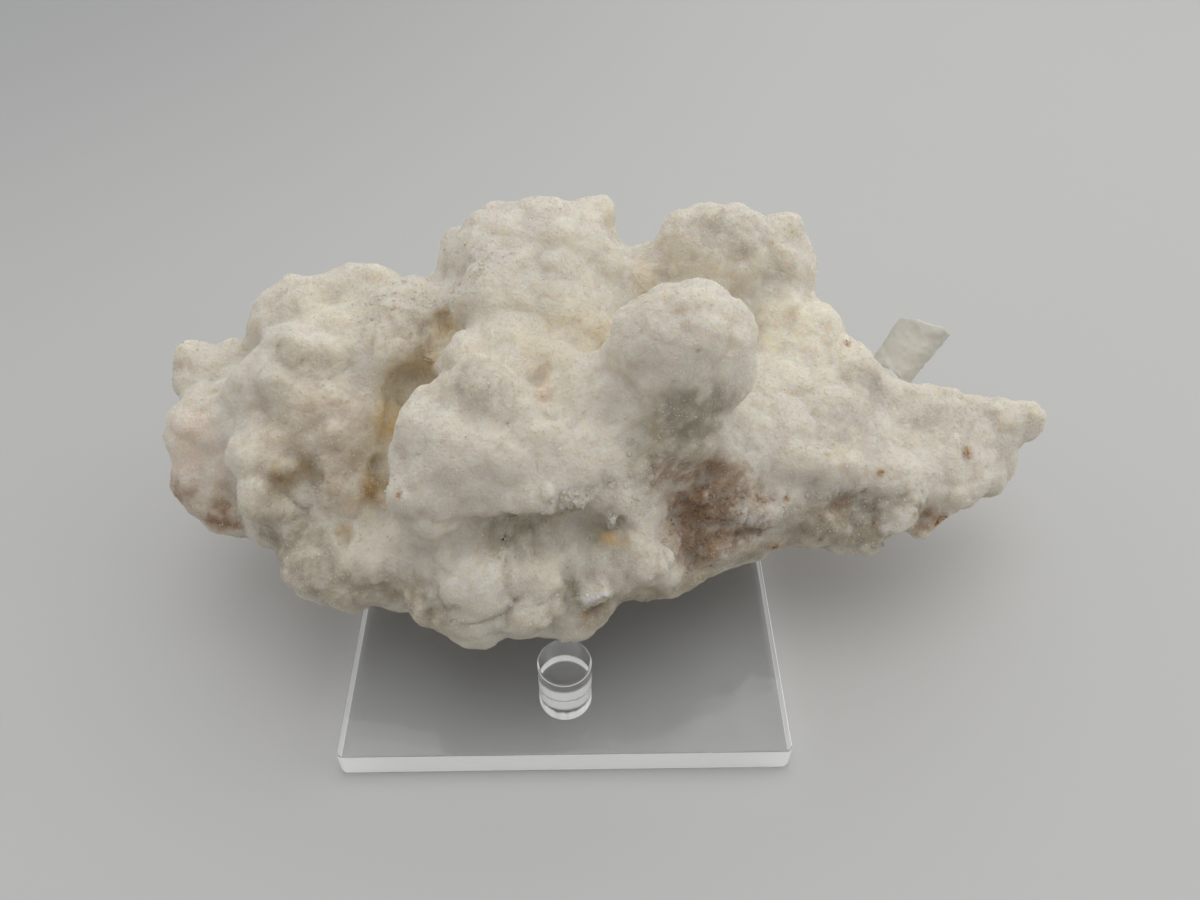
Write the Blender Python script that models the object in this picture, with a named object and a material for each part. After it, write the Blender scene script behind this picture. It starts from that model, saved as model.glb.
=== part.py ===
"""A lumpy white thenardite specimen that rests on a clear three-peg stand.

The frame's origin is the centre of the stand's underside, with +Z up, +X along the specimen
and -Y towards the viewer. The mineral is one solid, grown together from many rounded lobes.
"""

import math

import bmesh
import bpy
from mathutils import Matrix, Vector, noise

MM = 0.001
GAP = 0.3 * MM

# Stand: a square plate with a polished edge and three round pegs
PLATE_SIDE = 80 * MM
PLATE_THICKNESS = 6 * MM
PLATE_EDGE_BEVEL = 0.5 * MM
PEG_DIAMETER = 9.5 * MM
PEG_HEIGHT = 12 * MM
PEG_EDGE_BEVEL = 0.4 * MM
PEG_INSET = 11.2 * MM
PEG_SIDES = 32
PEG_TOP = PLATE_THICKNESS + PEG_HEIGHT

# Mineral: how the lobes are grown together, and how fine the faceted solid is
LOBE_DETAIL = 3
JOIN_VOXEL = 1.2 * MM
CREASE_FILL = 1.2 * MM
JOIN_SMOOTHING = 2
CLUSTER_TRIANGLES = 8200
# Broad swellings of the skin, then rounded knobs: their size, height and where the noise is taken
SWELLING = (13 * MM, 1.6 * MM, (3.1, 0.4, 7.7))
KNOBS = (
    (9 * MM, 1.7 * MM, (9.2, 5.5, 1.3)),
    (5.5 * MM, 0.7 * MM, (1.9, 8.8, 4.6)),
)

# Lobes of the mineral in millimetres: centre x, y, z, then one radius or three
CORE = (
    (-48, 14, 36, 19, 16, 13),
    (-8, 8, 37, 30, 24, 15),
    (0, 36, 39, 40, 20, 14),
    (38, 12, 34, 25, 19, 12.5),
    (62, 11, 28.5, 25, 14, 9.5),
    (20, 4, 36, 20, 13, 14),
)
LEFT_HEAD = (
    (-50, 30, 51, 6),
    (-45.5, 34, 51, 5.5),
    (-38, 33, 50.5, 7),
    (-29.5, 26, 51.5, 7.5),
    (-56, 26, 49.5, 5),
    (-43.5, 20, 51, 6),
    (-48, 14, 49, 8),
    (-38.5, 18, 47, 8),
    (-43.5, 6, 43, 10),
    (-46, 12, 56.5, 3.5),
    (-50, 7, 51, 4.5),
    (-30.5, 15.5, 50, 6.5),
)
LEFT_END = (
    (-71, 22, 41, 6),
    (-65, 24, 41, 6),
    (-55, 10, 45.5, 6.5),
    (-65, 8, 37.5, 8),
    (-66, 4, 30, 8),
    (-60, 2, 26, 7),
    (-52, -3.5, 42.5, 6),
    (-52.5, -8, 36.5, 4.3, 4.3, 6),
    (-38.5, -4, 36, 6),
    (-44, -11, 30, 6.5),
    (-52, -4, 28, 7),
)
FRONT_LOBE = (
    (-12.5, -4, 56.5, 8.5),
    (-14.5, -8, 52.5, 13.5, 11.5, 9),
    (-20, -15, 47.5, 7.5, 7.5, 6.5),
    (-8, -12, 44, 12, 9, 9),
    (-21, -15.5, 41, 6.5),
    (-14, 10, 50.5, 8),
    (-6, 13, 50, 8),
)
KNOB = (
    (5, 4, 49.5, 8.5),
    (20.5, 4, 60, 12.6),
    (17.5, -1, 48, 11, 10, 11),
    (7, -7, 43, 11, 9, 9),
    (3, -7, 47, 7.5),
    (1.5, -15, 44.5, 3),
    (9, -13, 38.5, 6),
)
BACK_LOBE = (
    (-4, 38, 49, 17.5),
    (-12.5, 38, 54.5, 10.5),
    (7, 48, 57.5, 5),
    (-13.5, 48, 57.5, 5),
    (-13.5, 26, 53.5, 8.5),
    (0, 23, 49, 11),
    (-3, 46, 56.5, 6.5),
    (-20, 44, 54.5, 5),
)
RIGHT_LOBE = (
    (16, 42, 45.5, 8),
    (30, 44, 51, 12),
    (34, 50, 56, 5),
    (45, 50, 53.5, 4.5),
    (46, 44, 48, 7),
    (39, 47, 52.5, 7.5),
    (46.5, 30, 40, 10.5),
    (57, 22, 35, 9),
    (61, 30, 31, 6),
    (64, 31, 26, 8.5),
    (44.5, 12, 38, 9),
)
RIGHT_ARM = (
    (68, 16, 33, 8),
    (79, 17, 31, 7),
    (85.5, 17, 31, 6, 6, 5.5),
    (91.5, 17, 32, 3.5),
    (83, 11, 25, 7),
    (73, 3, 28, 7),
    (60, -1, 31, 8, 6, 7),
    (62, -3, 26.5, 4),
    (69, -2, 23, 4.5),
    (48, -1, 37.5, 8, 6, 7),
    (44, -4, 27, 8, 6.5, 7.5),
    (54, -4, 24, 6),
)
SKIRT = (
    (34, -6, 26, 7),
    (30.5, -8.5, 35, 3.2),
    (36.5, -7.5, 34, 3),
    (25, -8, 25, 7),
    (27, -5, 34, 7),
    (13.5, -15, 30.5, 7),
    (14, -14, 25, 6.5),
    (5, -19, 25, 6.5),
    (5, -22.5, 30.5, 3),
    (3, -13, 33.5, 7),
    (0.5, -24, 22.5, 5, 4, 5),
    (-3.5, -21, 27.5, 7),
    (-12, -20.5, 33, 6.5),
    (-8, -24, 26.5, 5.5),
    (-15, -22.5, 26, 7),
    (-21, -21, 28, 6.5),
    (-27.5, -15.5, 30.5, 7),
    (-30, -16, 26, 6.5),
    (-37, -14, 28.5, 7),
    (-38, -16.5, 25.5, 6.5),
    (-44.5, -13.5, 26.5, 6),
    (19, -13, 24.8, 6),
)
FEET = (
    (-28.5, 28.5, 28.5, 13, 12, 11),
    (28.5, 28.5, 28.5, 13, 12, 11),
)
LOBES = CORE + LEFT_HEAD + LEFT_END + FRONT_LOBE + KNOB + BACK_LOBE + RIGHT_LOBE + RIGHT_ARM + SKIRT + FEET

# Prism: a flat six-sided crystal that leans out of the back of the right arm
PRISM_BASE = Vector((65.5, 31.2, 25.9)) * MM
PRISM_TIP = Vector((75.3, 38, 38.5)) * MM
PRISM_WIDTH = 10.5 * MM
PRISM_DEPTH = 6 * MM
PRISM_FLARE = 1.12
PRISM_END_SLANT = 0.28
PRISM_TURN = math.radians(-10)
PRISM_EDGE_BEVEL = 0.35 * MM

# Hollows taken out of the grown skin, written the same way
HOLLOWS = (
    (-26.5, 5, 47, 5.5, 9, 9),
    (-30.5, -3, 46, 4, 8, 10),
    (-31, -12, 44, 3.8, 7, 8.5),
    (23.5, -15.5, 33, 5, 5, 7),
    (-43.5, -9.5, 43, 3.8, 5, 6),
)


def clear_scene():
    for obj in list(bpy.data.objects):
        bpy.data.objects.remove(obj)


def material(name, colour, roughness, transmission=0.0, ior=1.45):
    made = bpy.data.materials.new(name)
    made.use_nodes = True
    shader = made.node_tree.nodes["Principled BSDF"]
    shader.inputs["Base Color"].default_value = (*colour, 1)
    shader.inputs["Roughness"].default_value = roughness
    shader.inputs["Metallic"].default_value = 0
    shader.inputs["Transmission Weight"].default_value = transmission
    shader.inputs["IOR"].default_value = ior
    return made


def object_from(name, shape, finish=None, location=(0, 0, 0)):
    """Links a bmesh as a named object at a location, and frees the bmesh."""
    mesh = bpy.data.meshes.new(name)
    shape.to_mesh(mesh)
    shape.free()
    obj = bpy.data.objects.new(name, mesh)
    obj.location = location
    bpy.context.scene.collection.objects.link(obj)
    if finish:
        mesh.materials.append(finish)
    return obj


def evaluated_bmesh(obj):
    """The object's mesh with its modifiers applied, as a new bmesh in its own space."""
    graph = bpy.context.evaluated_depsgraph_get()
    shape = bmesh.new()
    shape.from_object(obj, graph)
    return shape


def bevel(obj, width, segments=2):
    modifier = obj.modifiers.new("polished_edge", "BEVEL")
    modifier.width = width
    modifier.segments = segments
    modifier.limit_method = "ANGLE"
    modifier.angle_limit = math.radians(40)


def build_plate(acrylic):
    shape = bmesh.new()
    size = Vector((PLATE_SIDE, PLATE_SIDE, PLATE_THICKNESS))
    bmesh.ops.create_cube(shape, size=1, matrix=Matrix.Diagonal((*size, 1)))
    plate = object_from("base_plate", shape, acrylic, (0, 0, PLATE_THICKNESS / 2))
    bevel(plate, PLATE_EDGE_BEVEL)


def peg_places():
    """Where each peg stands: one at the middle of the front, two in the back corners."""
    reach = PLATE_SIDE / 2 - PEG_INSET
    return {
        "front_peg": (0, -reach),
        "rear_left_peg": (-reach, reach),
        "rear_right_peg": (reach, reach),
    }


def round_bar(radius, length):
    shape = bmesh.new()
    bmesh.ops.create_cone(
        shape, cap_ends=True, segments=PEG_SIDES, radius1=radius, radius2=radius, depth=length
    )
    return shape


def build_pegs(acrylic):
    length = PEG_HEIGHT - GAP
    for name, (x, y) in peg_places().items():
        centre = (x, y, PEG_TOP - length / 2)
        peg = object_from(name, round_bar(PEG_DIAMETER / 2, length), acrylic, centre)
        bevel(peg, PEG_EDGE_BEVEL)
        peg.data.shade_smooth()
        peg.data.set_sharp_from_angle(angle=math.radians(40))


def add_lobe(shape, x, y, z, *radii):
    """One rounded lobe: a ball where one radius is given, or an ellipsoid for three."""
    rx, ry, rz = radii * 3 if len(radii) == 1 else radii
    place = Matrix.Translation(Vector((x, y, z)) * MM) @ Matrix.Diagonal((rx, ry, rz, 1))
    bmesh.ops.create_icosphere(shape, subdivisions=LOBE_DETAIL, radius=MM, matrix=place)


def remesh(obj, name):
    modifier = obj.modifiers.new(name, "REMESH")
    modifier.mode = "VOXEL"
    modifier.voxel_size = JOIN_VOXEL


def offset_skin(obj, name, distance):
    modifier = obj.modifiers.new(name, "DISPLACE")
    modifier.mid_level = 0
    modifier.strength = distance


def subtract(obj, name, cutter):
    modifier = obj.modifiers.new(name, "BOOLEAN")
    modifier.operation = "DIFFERENCE"
    modifier.object = cutter


def cutter_object(shape, name):
    cutter = object_from(name, shape)
    cutter.hide_render = True
    cutter.display_type = "WIRE"
    return cutter


def grow_together(shape, name):
    """Joins overlapping lobes in one skin: narrow creases fill up, then the hollows are taken."""
    lumps = object_from(name, shape)
    remesh(lumps, "joined")
    offset_skin(lumps, "thickened", CREASE_FILL)
    remesh(lumps, "filled")
    offset_skin(lumps, "thinned", -CREASE_FILL)
    remesh(lumps, "evened")
    hollows = bmesh.new()
    for hollow in HOLLOWS:
        add_lobe(hollows, *hollow)
    cutter = cutter_object(hollows, "hollow_cutter")
    remesh(cutter, "joined")
    subtract(lumps, "hollowed", cutter)
    remesh(lumps, "healed")
    soft = lumps.modifiers.new("softened", "SMOOTH")
    soft.iterations = JOIN_SMOOTHING
    soft.factor = 0.5
    skin = evaluated_bmesh(lumps)
    bpy.data.objects.remove(lumps)
    bpy.data.objects.remove(cutter)
    return skin


def knob_level(place, size, offset):
    """Near 1 over the middle of each rounded knob and near 0 in the creases between knobs."""
    near, next_near = noise.voronoi(place / size + Vector(offset))[0][:2]
    return min(1.0, 1.3 * (next_near - near)) ** 0.6


def swell(shape):
    """Raises and lowers the skin along its normals: broad swellings first, then knobs."""
    shape.normal_update()
    size, height, offset = SWELLING
    for vert in shape.verts:
        vert.co += vert.normal * height * noise.noise(vert.co / size + Vector(offset))
    for size, height, offset in KNOBS:
        shape.normal_update()
        for vert in shape.verts:
            vert.co += vert.normal * height * (knob_level(vert.co, size, offset) - 0.5)


def facet(shape, name, triangles):
    """Thins the skin to about this many triangles, with no doubled or loose pieces."""
    dense = object_from(name, shape)
    remesh(dense, "evened")
    full = evaluated_bmesh(dense)
    count = sum(len(face.verts) - 2 for face in full.faces)
    full.free()
    thinner = dense.modifiers.new("thinner", "DECIMATE")
    thinner.ratio = min(1.0, triangles / count)
    facets = evaluated_bmesh(dense)
    bpy.data.objects.remove(dense)
    return facets


def seat_cutter():
    """The pegs, grown by the gap: what they take from the underside is where it rests."""
    shape = bmesh.new()
    for x, y in peg_places().values():
        place = Matrix.Translation((x, y, (PEG_TOP + GAP) / 2))
        radius = PEG_DIAMETER / 2 + 2 * GAP
        bmesh.ops.create_cone(
            shape,
            cap_ends=True,
            segments=PEG_SIDES,
            radius1=radius,
            radius2=radius,
            depth=PEG_TOP + GAP,
            matrix=place,
        )
    return cutter_object(shape, "seat_cutter")


def prism_shape(grown=0):
    """The crystal along its own axis, wider towards a slanted blunt end, then set in place."""
    axis = PRISM_TIP - PRISM_BASE
    length = axis.length + grown
    shape = bmesh.new()
    bmesh.ops.create_cone(
        shape, cap_ends=True, segments=6, radius1=1, radius2=PRISM_FLARE, depth=length
    )
    for vert in shape.verts:
        if vert.co.z > 0:
            vert.co.z -= PRISM_END_SLANT * vert.co.x * PRISM_WIDTH / 2
        vert.co.x *= PRISM_WIDTH / 2 + grown
        vert.co.y *= PRISM_DEPTH / 2 / math.cos(math.radians(30)) + grown
        vert.co.z += length / 2
    upright = axis.to_track_quat("Z", "Y").to_matrix().to_4x4()
    turn = Matrix.Rotation(PRISM_TURN, 4, "Z")
    bmesh.ops.transform(shape, verts=shape.verts, matrix=Matrix.Translation(PRISM_BASE) @ upright @ turn)
    return shape


def build_prism(clear):
    prism = object_from("prism_crystal", prism_shape(), clear)
    bevel(prism, PRISM_EDGE_BEVEL, segments=1)


def build_cluster(mineral):
    shape = bmesh.new()
    for lobe in LOBES:
        add_lobe(shape, *lobe)
    skin = grow_together(shape, "lumps")
    swell(skin)
    cluster = object_from("thenardite_cluster", facet(skin, "dense", CLUSTER_TRIANGLES), mineral)
    subtract(cluster, "peg_seats", seat_cutter())
    subtract(cluster, "prism_socket", cutter_object(prism_shape(GAP), "prism_cutter"))


def main():
    clear_scene()
    acrylic = material("clear_acrylic", (1, 1, 1), 0.02, transmission=1, ior=1.49)
    mineral = material("white_mineral", (0.86, 0.82, 0.74), 0.6)
    build_plate(acrylic)
    build_pegs(acrylic)
    build_cluster(mineral)
    build_prism(material("pale_prism", (0.74, 0.78, 0.72), 0.12, transmission=1, ior=1.47))


main()
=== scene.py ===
"""A white thenardite specimen on a clear three-peg stand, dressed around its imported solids."""

import math

import bmesh
import bpy
import numpy as np
from bpy.props import FloatProperty, FloatVectorProperty, IntProperty, PointerProperty
from mathutils import Matrix, Vector, noise
from mathutils.bvhtree import BVHTree
from mathutils.kdtree import KDTree


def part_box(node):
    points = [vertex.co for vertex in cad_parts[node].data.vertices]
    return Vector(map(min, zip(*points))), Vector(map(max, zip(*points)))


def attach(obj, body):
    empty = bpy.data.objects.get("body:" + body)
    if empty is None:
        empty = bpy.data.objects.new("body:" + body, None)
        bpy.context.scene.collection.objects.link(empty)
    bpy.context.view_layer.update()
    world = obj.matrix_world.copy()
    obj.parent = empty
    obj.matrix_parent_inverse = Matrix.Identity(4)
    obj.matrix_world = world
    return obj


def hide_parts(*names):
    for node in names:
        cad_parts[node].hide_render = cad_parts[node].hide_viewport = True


bl_info = {
    "name": "Thenardite Specimen",
    "version": (1, 0, 0),
    "blender": (4, 5, 0),
    "location": "3D View > Sidebar > Thenardite",
    "description": "Grows a sugary white mineral crust, its prism and its clear stand",
    "category": "Object",
}

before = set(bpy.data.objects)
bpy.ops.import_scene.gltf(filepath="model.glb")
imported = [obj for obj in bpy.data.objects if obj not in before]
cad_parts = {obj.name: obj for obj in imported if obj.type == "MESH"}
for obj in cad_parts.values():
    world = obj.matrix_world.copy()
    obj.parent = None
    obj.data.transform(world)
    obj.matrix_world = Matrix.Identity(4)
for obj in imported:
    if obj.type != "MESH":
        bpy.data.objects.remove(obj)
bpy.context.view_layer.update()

MM = 0.001
CLUSTER, PRISM, PLATE = "thenardite_cluster", "prism_crystal", "base_plate"
PEGS = ("front_peg", "rear_left_peg", "rear_right_peg")
PLATE_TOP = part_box(PLATE)[1][2]
# Hairlines that keep faces from coinciding: under the plate, and under each rod
FLOOR_GAP, ROD_GAP = 0.3 * MM, 0.02 * MM

# Where the mineral shelters itself: cell of the coarse skin, reach and number of the rays
SHELTER_CELL, SHELTER_REACH, SHELTER_RAYS = 2.2 * MM, 20 * MM, 40

# The photograph's camera: place in metres, angles in radians, lens and sensor in millimetres
CAMERA_PLACE = (0.00337, -0.1174, 0.16145)
CAMERA_PITCH, CAMERA_YAW, CAMERA_ROLL = 0.798, 0.0268, 0.0119
CAMERA_LENS, CAMERA_SENSOR = 28.43, 36
CAMERA_NEAR = 5 * MM

# Knobs raised on the crust: size and height in millimetres, and where their pattern is taken
CRUST_KNOBS = (
    (7.5, 1.3, (2.7, 6.1, 0.9)),
    (4.2, 0.6, (4.1, 7.9, 2.3)),
    (2.4, 0.28, (8.6, 1.2, 5.7)),
    (1.3, 0.24, (0.7, 3.4, 9.8)),
)

# A knob's steepness, and the level at which it neither raises nor sinks the skin
KNOB_STEEPNESS, KNOB_REST = 1.35, 0.6

# How far the outlines of the single lumps and hollows stray from round, over what length, and its seed
FORM_WOBBLE, WOBBLE_SIZE, FORM_SEED = 1.1 * MM, 3.2 * MM, 7

# Single lumps on the crust in millimetres: centre, radius, height
LUMPS = (
    ((-14, -24.5, 36.5), 7.5, 2.2),
    ((-5, -21.5, 34.5), 5.5, 1.9),
    ((10.5, -20.5, 33.5), 6.5, 2.1),
    ((15.5, -20, 33.5), 5.0, 1.6),
    ((5.5, -24, 31), 2.6, 3.0),
    ((-6.5, -27.5, 28.5), 4.5, 1.2),
    ((7.5, -17.5, 41), 1.8, 1.4),
    ((1, -17, 47), 1.7, 1.2),
    ((3, -16.5, 46), 1.9, 1.4),
    ((-2, -17.5, 50), 1.5, 0.8),
    ((29.5, -10.5, 36), 2.3, 1.9),
    ((35, -9.5, 33.5), 3.3, 1.7),
    ((33.5, -9, 36.5), 2.4, 1.2),
    ((24, -9, 38), 1.8, 1.1),
    ((27, -13, 29), 2.2, 1.2),
    ((60.5, -7, 30), 4.0, 2.0),
    ((50, -9, 27), 3.5, 0.9),
    ((-47, 10, 56.5), 3.0, 1.3),
    ((-42.5, 11.5, 54), 4.5, 1.1),
    ((-52.5, -10.5, 39), 4.8, 1.8),
    ((-45, -6.5, 37), 2.5, 1.3),
    ((-38, -6.5, 40), 5.5, 1.1),
)

# Single hollows in the crust in millimetres: centre, radius, depth
HOLLOWS = (
    ((-9.5, -20.5, 43), 5.0, 2.0),
    ((-3.5, -19.5, 41.5), 5.5, 2.6),
    ((2.5, -18, 40), 5.0, 2.2),
    ((9, -17.5, 38.5), 4.0, 1.6),
    ((-17, -20.5, 40.5), 4.0, 1.6),
    ((5.5, -25, 27), 2.6, 2.2),
    ((1.5, -24, 30.5), 2.4, 1.6),
    ((22.5, -9.5, 36), 4.0, 1.4),
    ((19.5, -11, 34.5), 2.6, 1.8),
    ((23, -14.5, 27), 3.0, 1.6),
    ((30.5, -12, 31.5), 2.2, 1.3),
    ((24.5, -7.5, 42), 3.5, 1.0),
    ((-61, -2, 32.5), 3.5, 1.4),
    ((-24, 14.5, 51), 3.4, 2.4),
    ((-48, -7.5, 40), 4.2, 1.5),
    ((-46, -4, 45), 2.6, 0.9),
    ((-43.5, -4.5, 41.5), 3.6, 0.7),
    ((-37.5, -13, 34.5), 2.2, 1.6),
    ((20, -3, 70.5), 2.4, 0.9),
    ((-3.5, 5, 54), 3.2, 1.2),
    ((-2.5, -1, 55), 3.0, 1.2),
    ((-2, -6, 55), 2.2, 1.0),
    ((67, -4.5, 26.5), 3.2, 1.6),
    ((71, -4, 24.5), 1.5, 1.2),
    ((49.5, -5.5, 32.5), 3.5, 1.1),
    ((20, -9.5, 53.5), 5.0, 1.3),
    ((12.5, -8, 52.5), 4.0, 1.0),
)

# Long clefts in millimetres: both ends, half width, depth
CLEFTS = (
    ((-20.5, 23, 54), (-23, 17.5, 51), 2.2, 1.3),
    ((-23, 17.5, 51), (-29.5, 11.5, 44), 3.0, 0.6),
    ((-30.5, 9, 44), (-32, -1, 39), 2.6, 1.2),
    ((-32, -1, 39), (-31.5, -8.5, 35.5), 3.0, 1.8),
    ((-38, -13.5, 34), (-33, -19, 30), 1.6, 0.9),
    ((-12, -21, 42), (8, -18, 39.5), 6.5, 1.6),
    ((-9.5, -22.5, 37.5), (-9, -26.5, 31), 2.0, 1.5),
    ((-20.5, -26, 32), (-9, -28, 30), 2.0, 1.2),
    ((1, -21.5, 35.5), (1.5, -25.5, 29), 2.4, 1.4),
    ((-26, -22, 38), (-22, -27, 30), 2.2, 1.1),
    ((17, -14, 38), (18.5, -18, 30), 2.2, 1.3),
    ((-60, 12, 46.5), (-67, 12, 42), 2.0, 1.2),
    ((-57, -2, 39), (-60, -6, 30), 2.0, 1.0),
    ((19, 36, 52), (15, 26, 52), 2.5, 1.0),
)

# Tints of the crust in millimetres: centre, three radii, strength, and the colour's name. Tan and dusk are
# painted shade, ash is painted shade below the lips and the big knob, glow and cream are painted light where
# light comes through the mineral, and ochre and umber are partly stain and partly painted shade.
TINTS = (
    ((-44, 4, 47), (15, 15, 11), 0.6, "pink"),
    ((-38, -6, 41), (12, 12, 10), 0.6, "pink"),
    ((-66, 4, 38), (12, 14, 12), 0.9, "rose"),
    ((-30, 18, 53), (9, 8, 7), 0.5, "pink"),
    ((-28, -24, 29), (22, 10, 8), 0.75, "tan"),
    ((-50, -13, 31), (16, 9, 10), 0.9, "tan"),
    ((54, -7, 29), (28, 8, 9), 0.95, "tan"),
    ((33, -9, 40), (14, 6, 6), 0.4, "tan"),
    ((22, -8, 56), (13, 7, 8), 1.0, "ash"),
    ((8, -23, 27), (16, 8, 8), 0.7, "tan"),
    ((57, 14, 42), (6, 7, 5), 0.35, "tan"),
    ((-4, -20, 42), (14, 8, 7), 0.95, "ash"),
    ((6, -18, 39), (9, 6, 4), 0.7, "ash"),
    ((1, -24, 31), (4, 4, 4), 0.8, "ash"),
    ((18, -10, 49), (11, 6, 8), 0.5, "ash"),
    ((-47, 10, 57), (3, 3, 3), 0.5, "ash"),
    ((24, -9, 37), (11, 8, 13), 0.8, "brown"),
    ((33, -8, 37), (7, 6, 5), 0.5, "brown"),
    ((19, -13, 31), (6, 5, 7), 0.6, "brown"),
    ((29, -8, 43), (6, 5, 5), 0.5, "brown"),
    ((24, -14, 28), (6, 6, 5), 0.85, "brown"),
    ((31, -11.5, 32), (9, 7, 6), 0.8, "brown"),
    ((18, -11, 46), (8, 6, 6), 0.45, "brown"),
    ((25, -7, 43), (5, 4, 5), 0.6, "brown"),
    ((-62, -4, 28.5), (8, 6, 4.5), 0.8, "brown"),
    ((-48, -7, 41), (3.5, 5, 6), 0.6, "umber"),
    ((-44, -4.5, 42), (4, 4, 4), 0.45, "umber"),
    ((-70, 2, 30), (6, 9, 6), 0.6, "brown"),
    ((67, -4.5, 26), (6, 5, 4), 0.7, "brown"),
    ((49.5, -6, 32), (7, 4, 2.5), 0.6, "brown"),
    ((5, -25, 27.5), (3, 3, 2), 0.8, "brown"),
    ((-27, 14, 48), (7, 8, 6), 0.55, "ochre"),
    ((-31, 6, 43), (4.5, 9, 6), 0.8, "ochre"),
    ((-32, -5, 37.5), (4.5, 7, 4.5), 0.85, "umber"),
    ((-24, 14.5, 51), (4, 4, 4), 0.6, "ochre"),
    ((-21.5, 20, 52), (4, 7, 5), 0.55, "ochre"),
    ((-37.5, -13, 34.5), (2.5, 2.5, 2.5), 0.7, "ochre"),
    ((16, 36, 50), (6, 8, 7), 0.7, "ochre"),
    ((9, -18, 38), (5, 3, 1.6), 0.6, "ochre"),
    ((46, 26, 44), (15, 14, 13), 0.9, "glow"),
    ((0, 14, 54), (18, 14, 11), 0.6, "cream"),
    ((-14, 0, 60), (13, 12, 8), 0.6, "cream"),
    ((-40, 24, 52), (16, 12, 9), 0.5, "cream"),
    ((28, 14, 48), (9, 12, 10), 0.6, "glow"),
    ((22, 36, 54), (8, 9, 7), 0.7, "dusk_shade"),
    ((27, 36, 55), (16, 12, 8), 0.5, "glow"),
    ((-3.5, 2, 54), (2.8, 9, 3.5), 0.8, "peach"),
    ((-12, -6, 64), (11, 9, 7), 0.8, "dusk_shade"),
    ((33, 39, 61), (12, 9, 8), 0.8, "dusk_shade"),
    ((52, 4, 41), (13, 9, 6), 0.7, "dusk_shade"),
    ((77, 12, 36), (14, 11, 8), 0.6, "dusk_shade"),
    ((57, 15, 42), (8, 8, 7), 0.9, "dusk_shade"),
    ((-27, 16, 55), (8, 8, 7), 0.9, "dusk_shade"),
    ((13, -20, 35), (8, 5, 6), 0.8, "dusk_shade"),
    ((-40, -20, 29), (10, 6, 8), 0.6, "tan"),
    ((-51, -10.5, 39), (6, 5, 6), 0.35, "tan"),
    ((24, -16, 24), (13, 6, 5), 0.9, "tan"),
    ((35, -11.5, 25), (10, 6, 4), 0.8, "tan"),
    ((13.5, -19.5, 23), (8, 5, 5), 0.8, "tan"),
    ((-5, -27, 28), (8, 5, 5), 0.5, "tan"),
    ((14, 33, 53), (8, 7, 6), 0.5, "dusk_shade"),
    ((24.5, -11.5, 33), (5, 4, 5), 0.7, "brown"),
    ((-27, 16.5, 55), (6, 6, 6), 0.5, "tan"),
    ((22, -7, 57), (9, 5, 6), 0.6, "ash"),
    ((-29, 12.5, 46), (7, 7, 7), 0.7, "cream"),
    ((60.5, -8.5, 30), (4.5, 4, 4.5), 0.9, "pale"),
    ((5.5, -25.5, 31.5), (3.4, 4, 3.2), 1.0, "pale"),
    ((-14, -25, 37.5), (7, 5, 4.5), 0.6, "pale"),
    ((32.5, -10, 35), (5.5, 4, 3.2), 0.6, "pale"),
)

# Size of the blotches in the stains and in the painted shade and light
PATCH_SIZE = 2.6 * MM

# The rust around a spot, in radii of the spot, and how strongly it covers
SPOT_HALO, SPOT_STRENGTH = 2.2, 0.7
# Rusty and dark spots on the crust in millimetres: centre, radius
SPOTS = (
    ((75.5, 5, 34.5), 0.9),
    ((57, -2.5, 37), 0.6),
    ((71, -4, 24.5), 1.2),
    ((38.5, -11, 25), 1.2),
    ((54.5, 24, 45), 0.6),
    ((-25, -20, 52), 0.45),
    ((-28, -12, 49), 0.4),
    ((21.5, -5, 68), 0.3),
    ((24.5, -7.5, 44), 0.5),
    ((10, -20, 35), 0.4),
    ((54, -4, 34.5), 0.4),
    ((56.5, -7, 29), 0.5),
    ((39.5, -7, 35.5), 0.35),
    ((19.5, -11.5, 34.5), 0.9),
    ((-56.5, -5.5, 35), 0.45),
    ((-38.5, 1.5, 46), 0.4),
    ((-45, 9, 55), 0.4),
)

# Where glassy crystals stand out of the crust, in millimetres: centre, radius, count, crystal size
CRYSTAL_NESTS = (
    ((1, -17, 47), 3.0, 34, 1.4),
    ((3, -16.5, 46), 3.0, 34, 1.4),
    ((7.5, -13.5, 48), 2.0, 7, 1.3),
    ((7.5, -17.5, 41), 1.6, 8, 1.6),
    ((5.5, -24.5, 31.5), 1.8, 22, 1.2),
    ((29.5, -10.5, 36), 4.0, 44, 1.5),
    ((35, -9.5, 33.5), 4.5, 44, 1.5),
    ((24, -10, 35), 9.0, 90, 1.2),
    ((23, -14, 29), 5.0, 30, 1.1),
    ((46, -6.5, 34), 9.0, 30, 1.2),
    ((14, -11, 46), 8.0, 50, 1.1),
    ((-24, -16, 50), 7.0, 30, 0.9),
    ((-44, -5, 38), 5.0, 20, 1.1),
    ((-20, 28, 60), 9.0, 60, 0.9),
    ((-14, 27, 62), 6.0, 60, 0.9),
    ((-24.5, 24.5, 55.5), 6.0, 50, 0.9),
    ((-32, 22.5, 57), 5.0, 40, 0.9),
    ((60, -6, 30), 12.0, 50, 1.1),
)

# Grains: layers, spread of sizes, tilt, and how deep they sit
GRAIN_LAYERS, GRAIN_SPREAD, GRAIN_TILT, GRAIN_SINK = 3, (0.6, 1.25), 0.22, 0.05 * MM
# Crystals: spread of sizes, tilt, how deep they sit in sizes, and their least and added glint for the painted
# glints
CRYSTAL_SPREAD, CRYSTAL_TILT, CRYSTAL_SINK, CRYSTAL_GLINT = (0.6, 1.35), 0.5, (0.05, 0.4), (0.25, 0.38)
# Crystals that lie thinly all over: how many, size and its spread
LOOSE_CRYSTALS, LOOSE_SIZE, LOOSE_SPREAD = 240, 0.8 * MM, (0.6, 1.3)
# Specks of dirt all over, with sizes in millimetres, and in each spot, with sizes in its radii
LOOSE_SPECKS, SPECK_SIZES = 150, (0.2, 0.42)
SPECKS_IN_SPOT, SPOT_SPECK_SIZES = 6, (0.3, 0.9)
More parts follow.
